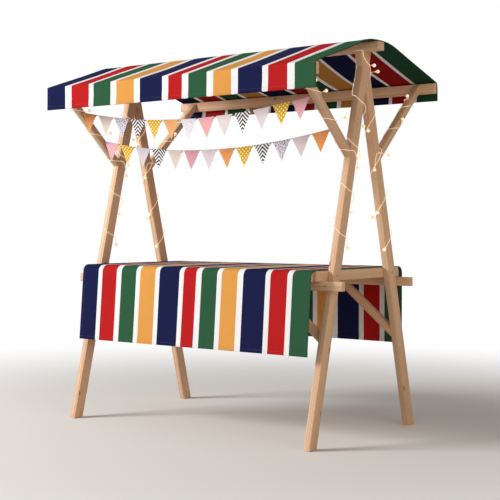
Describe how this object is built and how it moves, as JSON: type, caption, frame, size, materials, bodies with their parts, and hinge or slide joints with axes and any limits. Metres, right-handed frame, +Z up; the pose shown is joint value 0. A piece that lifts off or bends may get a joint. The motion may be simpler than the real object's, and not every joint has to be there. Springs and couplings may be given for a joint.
{
  "type": "wooden market stall",
  "caption": "Free-standing wooden market stall: leaning half-lapped end frames carry a striped fabric canopy and a table with a striped cloth, hung with bunting and small lights.",
  "frame": {"origin": "on the ground at the middle of the stall", "axes": "+X along the stall to the right as a customer sees it, -Y towards the customers, +Z up"},
  "size_m": [1.8, 1.156, 2],
  "materials": {
    "pine": "planed, matt",
    "canopy_cloth": "printed stripes, matt",
    "table_cloth": "printed stripes, matt",
    "string": "twisted cotton",
    "flags": "printed, matt",
    "cable": "matt",
    "bulbs": "glowing warm white"
  },
  "bodies": {
    "root": {"front_left_post": "pine", "front_right_post": "pine", "rear_left_post": "pine", "rear_right_post": "pine", "front_left_strut": "pine", "front_right_strut": "pine", "rear_left_strut": "pine", "rear_right_strut": "pine", "front_left_brace": "pine", "front_right_brace": "pine", "rear_left_brace": "pine", "rear_right_brace": "pine", "ridge_beam": "pine", "front_eave_rail": "pine", "rear_eave_rail": "pine", "front_table_rail": "pine", "rear_table_rail": "pine", "left_table_end": "pine", "right_table_end": "pine", "front_table_edge": "pine", "rear_table_edge": "pine", "table_top": "pine", "canopy": "canopy_cloth", "table_cloth": "table_cloth", "upper_string": "string", "lower_string": "string", "upper_flags": "flags", "lower_flags": "flags", "left_light_cable": "cable", "right_light_cable": "cable", "left_light_bulbs": "bulbs", "right_light_bulbs": "bulbs"}
  },
  "joints": []
}
